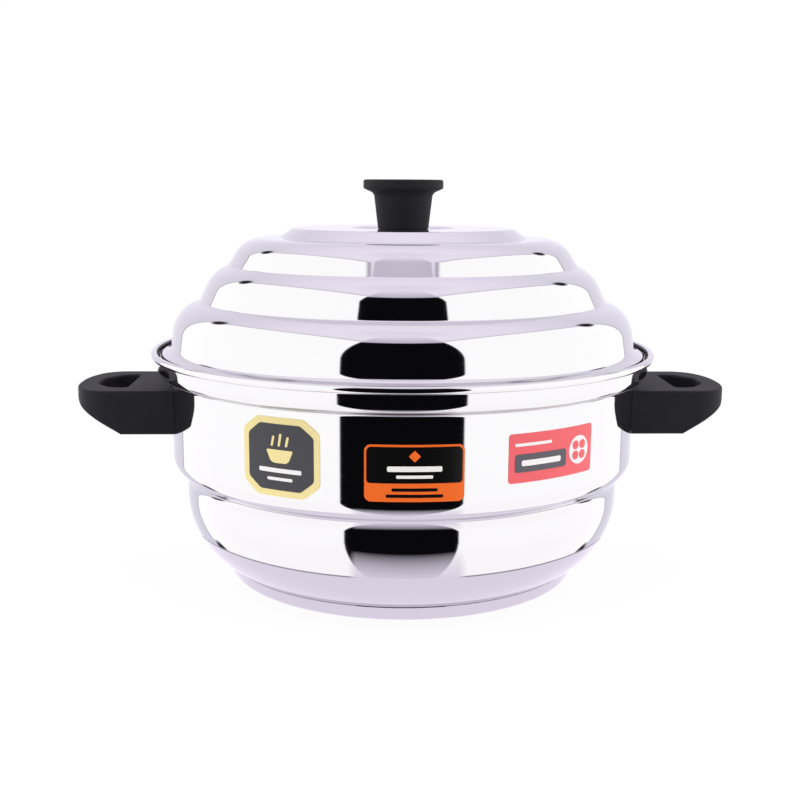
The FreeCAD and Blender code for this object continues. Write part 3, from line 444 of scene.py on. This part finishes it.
def painted_floor_shade():
    """A glowing disc that only the steel sees: a painted reflection of the floor in the pot's shade, lilac,
    with a painted grey edge line and painted shade that fades towards the front."""
    material, tree = new_material("lilac_painted_shade")
    parts, radius = round_axis(tree)
    across = calculate(tree, "ABSOLUTE", parts["X"])
    wedge = calculate(tree, "MULTIPLY_ADD", parts["Y"], SHADE_SLOPE, across)
    middle = share_of_way(tree, wedge, [end * MM for end in SHADE_SIDE])
    ring = calculate(tree, "COMPARE", radius, SHADE_EDGE_RADIUS * MM, SHADE_EDGE_REACH * MM)
    edge = calculate(tree, "SUBTRACT", ring, middle, clamp=True)
    colour = blend(tree, edge, linear(SHADE_LILAC), linear(SHADE_EDGE_GREY))
    inside = share_of_way(tree, radius, [end * MM for end in SHADE_DISC_END])
    front = share_of_way(tree, parts["Y"], [end * MM for end in SHADE_FRONT])
    shade = calculate(tree, "MULTIPLY", front, middle)
    share = calculate(tree, "MAXIMUM", inside, shade)
    clear = add_node(tree, "ShaderNodeBsdfTransparent")
    glow = add_node(tree, "ShaderNodeEmission", {"Color": colour, "Strength": SHADE_DISC_GLOW})
    surface(tree, "ShaderNodeMixShader", {0: share, 1: clear.outputs[0], 2: glow.outputs[0]})
    return material


def begin(name, size=MM):
    """Adds a plane by itself, names it and opens it in edit mode."""
    bpy.ops.object.select_all(action="DESELECT")
    bpy.ops.mesh.primitive_plane_add(size=size)
    piece = bpy.context.object
    piece.name = name
    piece.data.name = name
    bpy.ops.object.mode_set(mode="EDIT")
    return piece


def rounded(corners):
    """Each corner's arriving point, leaving point, arc centre and turn, in metres."""
    points = [(X * corner[0] + Z * corner[1]) * MM for corner in corners]
    rows = []
    for i, corner in enumerate(corners):
        at = points[i]
        if len(corner) < 3:
            rows.append((at, at, None, 0.0))
            continue
        back = (points[i - 1] - at).normalized()
        ahead = (points[(i + 1) % len(points)] - at).normalized()
        half = back.angle(ahead) / 2
        radius = corner[2] * MM
        reach = radius / math.tan(half)
        middle = at + (back + ahead).normalized() * (radius / math.sin(half))
        turn = math.copysign(math.pi - 2 * half, back.cross(ahead).dot(Y))
        rows.append((at + back * reach, at + ahead * reach, middle, turn))
    return rows


def extrude_to(here, there):
    """Extrudes the selected vertex in a straight line, with a support point near each end of a long one."""
    run = there - here
    stops = [run]
    if run.length > 4 * SUPPORT * MM:
        step = run.normalized() * SUPPORT * MM
        stops = [step, run - 2 * step, step]
    for move in stops:
        bpy.ops.mesh.extrude_vertices_move(TRANSFORM_OT_translate={"value": move})


def swing(middle, turn):
    """Spins the selected vertex round a corner."""
    steps = max(2, math.ceil(abs(turn) / ARC_STEP))
    bpy.ops.mesh.spin(steps=steps, angle=-turn, center=middle, axis=-Y)


def draw_line(corners, closed=False):
    """Draws a line through corners from one vertex: straight extrusions with a spun arc at each round."""
    rows = rounded(corners)
    bpy.ops.mesh.select_all(action="SELECT")
    bpy.ops.mesh.merge(type="CENTER")
    here = rows[0][1]
    bpy.ops.transform.translate(value=here)
    for arrive, leave, middle, turn in rows[1:] + (rows[:1] if closed else []):
        if (arrive - here).length > MERGE:
            extrude_to(here, arrive)
        if middle is not None:
            swing(middle, turn)
        here = leave


def turn_round(steps):
    """Spins the drawn line once round the Z axis, closes its seam and poles, and points it outwards."""
    bpy.ops.mesh.select_all(action="SELECT")
    bpy.ops.mesh.spin(steps=steps, angle=2 * math.pi, center=(0, 0, 0), axis=Z, use_auto_merge=True)
    bpy.ops.mesh.select_all(action="SELECT")
    bpy.ops.mesh.remove_doubles(threshold=MERGE)
    bpy.ops.mesh.normals_make_consistent(inside=False)


def apply_new(piece, kind, **settings):
    """Adds a modifier to a piece and applies it."""
    bpy.ops.object.mode_set(mode="OBJECT")
    modifier = piece.modifiers.new(kind.lower(), kind)
    for name, value in settings.items():
        setattr(modifier, name, value)
    bpy.ops.object.modifier_apply(modifier=modifier.name)


def spin_sheet(name, line, steps, thickness, curl=None):
    """Spins a sheet from its outer line, which can end in a curl."""
    sheet = begin(name)
    draw_line(line)
    if curl:
        swing(*curl)
    turn_round(steps)
    apply_new(sheet, "SOLIDIFY", thickness=thickness, offset=-1, use_even_offset=True)
    return sheet


def settle(piece, materials, body, slot, *nodes):
    """Shades a piece, gives it its materials and seats it on its body, in place of CAD nodes."""
    bpy.ops.object.mode_set(mode="OBJECT")
    bpy.ops.object.shade_smooth_by_angle(angle=SMOOTH_ANGLE)
    for material in materials:
        piece.data.materials.append(material)
    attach(piece, body)
    if nodes:
        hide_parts(*nodes)


def dress(nodes, material):
    """Gives CAD nodes a material."""
    for name in nodes:
        for slot in frame["nodes"][name].material_slots:
            slot.material = material


class STEAMER_OT_pot(bpy.types.Operator):
    """Spins the pot's wall with its rolled rim, and the base cap"""
    bl_idname = "steamer.pot"
    bl_label = "Pot and base"

    def execute(self, context):
        settings = context.scene.steamer_pot
        steps = settings.turn_steps
        steel = mirror_polished_steel(settings.mirror_colour)
        curl = (Vector((RIM_MIDDLE[0], 0, RIM_MIDDLE[1])) * MM, RIM_CURL)
        pot = spin_sheet("pot_wall", POT_LINE, steps, settings.pot_sheet, curl)
        settle(pot, [steel], "pot", "mirror_steel", "pot_body")
        base = spin_sheet("base_pan", BASE_LINE, steps, settings.base_sheet)
        settle(base, [steel], "pot", "mirror_steel", "base_cap")
        return {"FINISHED"}


class STEAMER_OT_lid(bpy.types.Operator):
    """Spins the stepped lid with its turned-down edge"""
    bl_idname = "steamer.lid"
    bl_label = "Lid"

    def execute(self, context):
        settings = context.scene.steamer_pot
        steel = bpy.data.materials["mirror_polished_stainless_steel"]
        lid = spin_sheet("lid_dome", LID_LINE, settings.turn_steps, settings.lid_sheet)
        settle(lid, [steel], "lid", "mirror_steel", "lid_shell")
        return {"FINISHED"}


class STEAMER_OT_knob(bpy.types.Operator):
    """Turns the lid's knob"""
    bl_idname = "steamer.knob"
    bl_label = "Lid knob"

    def execute(self, context):
        settings = context.scene.steamer_pot
        bakelite = moulded_bakelite(settings.bakelite_colour)
        knob = begin("knob_grip")
        draw_line(KNOB_LINE)
        turn_round(settings.turn_steps // 2)
        settle(knob, [bakelite], "lid", "bakelite", "lid_knob")
        return {"FINISHED"}


class STEAMER_OT_handles(bpy.types.Operator):
    """Gives the side handles their bakelite"""
    bl_idname = "steamer.handles"
    bl_label = "Handles"

    def execute(self, context):
        dress(("left_handle", "right_handle"), bpy.data.materials["moulded_black_bakelite"])
        return {"FINISHED"}


class STEAMER_OT_stand(bpy.types.Operator):
    """Gives the idli stand, its plates and the fastenings their metals"""
    bl_idname = "steamer.stand"
    bl_label = "Idli stand"

    def execute(self, context):
        settings = context.scene.steamer_pot
        metals = {
            "satin_steel": satin_steel(settings.satin_colour),
            "core_aluminium": plain_metal("rolled_aluminium", linear(ALUMINIUM), ALUMINIUM_ROUGHNESS),
            "insert_brass": plain_metal("turned_brass", linear(BRASS), BRASS_ROUGHNESS),
        }
        for part in frame["record"]["subparts"]:
            if part["material_slot"] in metals:
                dress([part["node"]], metals[part["material_slot"]])
        return {"FINISHED"}


class STEAMER_OT_labels(bpy.types.Operator):
    """Sticks three plain printed labels on the pot's band"""
    bl_idname = "steamer.labels"
    bl_label = "Labels"

    def execute(self, context):
        inks = context.scene.steamer_labels
        film = {
            name: printed_film(f"printed_film_{name}", getattr(inks, name))
            for name in ("charcoal", "gold", "black", "orange", "coral", "grey", "white")
        }
        for name, turn, height, layers in LABELS:
            self.stick(inks, film, name, turn, height, layers)
        return {"FINISHED"}

    def stick(self, inks, film, name, turn, height, layers):
        """Lays a label's layers over each other, joins them and turns them to their place on the band."""
        pieces = []
        for number, (level, ink, corners) in enumerate(layers):
            piece = begin(f"{name}_{number}")
            draw_line(corners, closed=True)
            bpy.ops.mesh.select_all(action="SELECT")
            bpy.ops.mesh.remove_doubles(threshold=MERGE)
            bpy.ops.mesh.edge_face_add()
            for cut in range(-LABEL_REACH, LABEL_REACH + 1, LABEL_STRIP):
                bpy.ops.mesh.select_all(action="SELECT")
                bpy.ops.mesh.bisect(plane_co=(cut * MM, 0, 0), plane_no=X)
            bpy.ops.mesh.select_all(action="SELECT")
            bpy.ops.transform.translate(value=(0, -BAND_RADIUS * MM, height * MM))
            radius = (BAND_RADIUS + LABEL_GAP) * MM + level * inks.film
            apply_new(
                piece, "CAST", cast_type="CYLINDER", factor=1.0, size=radius, use_radius_as_size=False)
            apply_new(piece, "SOLIDIFY", thickness=inks.film * LABEL_FILL, offset=0)
            bpy.ops.object.mode_set(mode="EDIT")
            bpy.ops.mesh.select_all(action="SELECT")
            bpy.ops.mesh.normals_make_consistent(inside=False)
            bpy.ops.object.mode_set(mode="OBJECT")
            piece.data.materials.append(film[ink])
            pieces.append(piece)
        for piece in pieces:
            piece.select_set(True)
        bpy.context.view_layer.objects.active = pieces[0]
        bpy.ops.object.join()
        label = bpy.context.object
        label.name = name
        label.data.name = name
        label.rotation_euler.z = math.radians(turn)
        bpy.ops.object.transform_apply(rotation=True)
        settle(label, [], "pot", None)


class STEAMER_OT_stage(bpy.types.Operator):
    """Lays the floor, surrounds it with soft studio light and sets the camera"""
    bl_idname = "steamer.stage"
    bl_label = "Stage"

    def execute(self, context):
        settings = context.scene.steamer_studio
        floor = self.lay("floor", FLOOR_SIZE, white_sweep())
        floor.visible_glossy = False
        # A glowing disc hidden from the camera: painted shade of the pot on the floor, seen only as a painted
        # reflection in the steel.
        painted_disc = self.lay("painted_shade_disc", SHADE_DISC_SIZE, painted_floor_shade())
        painted_disc.visible_camera = False
        painted_disc.visible_diffuse = False
        painted_disc.visible_shadow = False
        self.surround(context.scene, settings)
        bpy.ops.object.camera_add()
        camera = context.object
        tilt = Matrix.Rotation(math.pi / 2 - settings.pitch, 4, "X")
        look = tilt @ Matrix.Rotation(settings.roll, 4, "Z")
        around = Matrix.Rotation(settings.turn, 4, "Z")
        camera.matrix_world = around @ Matrix.Translation(settings.place) @ look
        camera.data.sensor_width = SENSOR_WIDTH
        camera.data.lens = settings.lens
        camera.data.clip_start = NEAREST_SEEN
        context.scene.camera = camera
        context.scene.view_settings.view_transform = "Standard"
        return {"FINISHED"}

    def lay(self, name, size, material):
        """A flat square on the ground."""
        square = begin(name, size)
        bpy.ops.mesh.subdivide(number_cuts=STAGE_CUTS)
        bpy.ops.object.mode_set(mode="OBJECT")
        square.data.materials.append(material)
        return square

    def surround(self, scene, settings):
        """A white room: a dark card in front, two wide soft boxes at the sides, and a lilac ceiling."""
        world = bpy.data.worlds.new("studio")
        scene.world = world
        world.use_nodes = True
        tree = world.node_tree
        tree.nodes.clear()
        sight = add_node(tree, "ShaderNodeTexCoord").outputs["Generated"]
        ray = add_node(
            tree, "ShaderNodeVectorRotate", {"Vector": sight, "Angle": -settings.turn},
            rotation_type="Z_AXIS").outputs[0]
        parts = add_node(tree, "ShaderNodeSeparateXYZ", {0: ray}).outputs
        to_front = calculate(tree, "MULTIPLY", parts["Y"], -1.0)
        turn = calculate(tree, "ARCTAN2", parts["X"], to_front)
        off = calculate(tree, "ABSOLUTE", turn)
        side = calculate(tree, "MULTIPLY", off, DEGREES_PER_RADIAN)
        rise = calculate(tree, "ARCSINE", parts["Z"])
        across = calculate(tree, "ABSOLUTE", parts["X"])
        ahead = calculate(tree, "MULTIPLY", to_front, math.cos(BOX_FACING))
        facing = calculate(tree, "MULTIPLY_ADD", across, math.sin(BOX_FACING), ahead)
        up_the_box = calculate(tree, "ARCTAN2", parts["Z"], facing)
        front = self.by_height(tree, rise, CARD_COLOURS)
        boxes = self.by_height(tree, up_the_box, BOX_COLOURS)
        beyond = self.by_height(tree, rise, ROOM_COLOURS)
        under_top = calculate(tree, "MULTIPLY_ADD", up_the_box, -DEGREES_PER_RADIAN, BOX_TOP)
        before_end = calculate(tree, "SUBTRACT", BOX_END, side)
        inside = calculate(tree, "MINIMUM", under_top, before_end)
        edge = self.past(tree, inside, BOX_FRAME, beyond, linear(BOX_FRAME_GREY))
        lit = self.past(tree, inside, BOX_CLOTH, edge, boxes)
        sides = self.past(tree, side, CARD_SIDE, front, lit)
        room = self.corner_clips(tree, across, parts["Y"], parts["Z"], sides)
        seen = add_node(tree, "ShaderNodeBackground", {"Color": room, "Strength": settings.light})
        plain = add_node(tree, "ShaderNodeBackground", {"Color": linear(WHITE), "Strength": WHITE_GLOW})
        direct = add_node(tree, "ShaderNodeLightPath").outputs["Is Camera Ray"]
        mixed = add_node(tree, "ShaderNodeMixShader", {0: direct, 1: seen.outputs[0], 2: plain.outputs[0]})
        add_node(tree, "ShaderNodeOutputWorld", {"Surface": mixed.outputs[0]})

    def by_height(self, tree, angle, rows):
        """Colours by degrees over the horizon."""
        height = share_of_way(tree, angle, (-math.pi / 2, math.pi / 2))
        stops = [((degrees + 90) / 180, linear(colour)) for degrees, colour in rows]
        return add_node(tree, "ShaderNodeValToRGB", {"Fac": height}, stops=stops).outputs["Color"]

    def past(self, tree, angle, ends, near, far):
        """One colour up to some degrees, and another beyond them."""
        share = share_of_way(tree, angle, ends, interpolation_type="SMOOTHSTEP")
        return blend(tree, share, near, far)

    def corner_clips(self, tree, across, ahead, up, room):
        """Dark clips at the outer corners of the soft boxes."""
        level = calculate(tree, "ABSOLUTE", up)
        folded = add_node(tree, "ShaderNodeCombineXYZ", {0: across, 1: ahead, 2: level}).outputs[0]
        clip = (
            math.sin(CLIP_TURN) * math.cos(CLIP_RISE), -math.cos(CLIP_TURN) * math.cos(CLIP_RISE),
            math.sin(CLIP_RISE),
        )
        near = add_node(
            tree, "ShaderNodeVectorMath", {0: folded, 1: clip}, operation="DOT_PRODUCT").outputs["Value"]
        ends = [math.cos(reach) for reach in CLIP_REACH]
        share = share_of_way(tree, near, ends, interpolation_type="SMOOTHSTEP")
        return blend(tree, share, room, linear(CLIP_BLACK))


class STEAMER_PT_sidebar(bpy.types.Panel):
    """Lists the steamer's pieces"""
    bl_idname = "STEAMER_PT_sidebar"
    bl_label = "Idli steamer"
    bl_space_type = "VIEW_3D"
    bl_region_type = "UI"
    bl_category = "Steamer"

    def draw(self, context):
        for operator in OPERATORS:
            self.layout.operator(operator.bl_idname)
        for name in SETTINGS:
            group = getattr(context.scene, name)
            for key in group.bl_rna.properties.keys():
                if key not in ("rna_type", "name"):
                    self.layout.prop(group, key)


OPERATORS = (
    STEAMER_OT_stage, STEAMER_OT_pot, STEAMER_OT_lid, STEAMER_OT_knob, STEAMER_OT_handles, STEAMER_OT_stand,
    STEAMER_OT_labels,
)
SETTINGS = {
    "steamer_pot": PotSettings,
    "steamer_labels": LabelSettings,
    "steamer_studio": StudioSettings,
}


def register():
    for kind in (*SETTINGS.values(), *OPERATORS, STEAMER_PT_sidebar):
        bpy.utils.register_class(kind)
    for name, kind in SETTINGS.items():
        setattr(bpy.types.Scene, name, bpy.props.PointerProperty(type=kind))


def unregister():
    for name in SETTINGS:
        delattr(bpy.types.Scene, name)
    for kind in (STEAMER_PT_sidebar, *reversed(OPERATORS), *SETTINGS.values()):
        bpy.utils.unregister_class(kind)


def main():
    register()
    bpy.ops.steamer.stage()
    bpy.ops.steamer.pot()
    bpy.ops.steamer.lid()
    bpy.ops.steamer.knob()
    bpy.ops.steamer.handles()
    bpy.ops.steamer.stand()
    bpy.ops.steamer.labels()


if __name__ == "__main__":
    main()
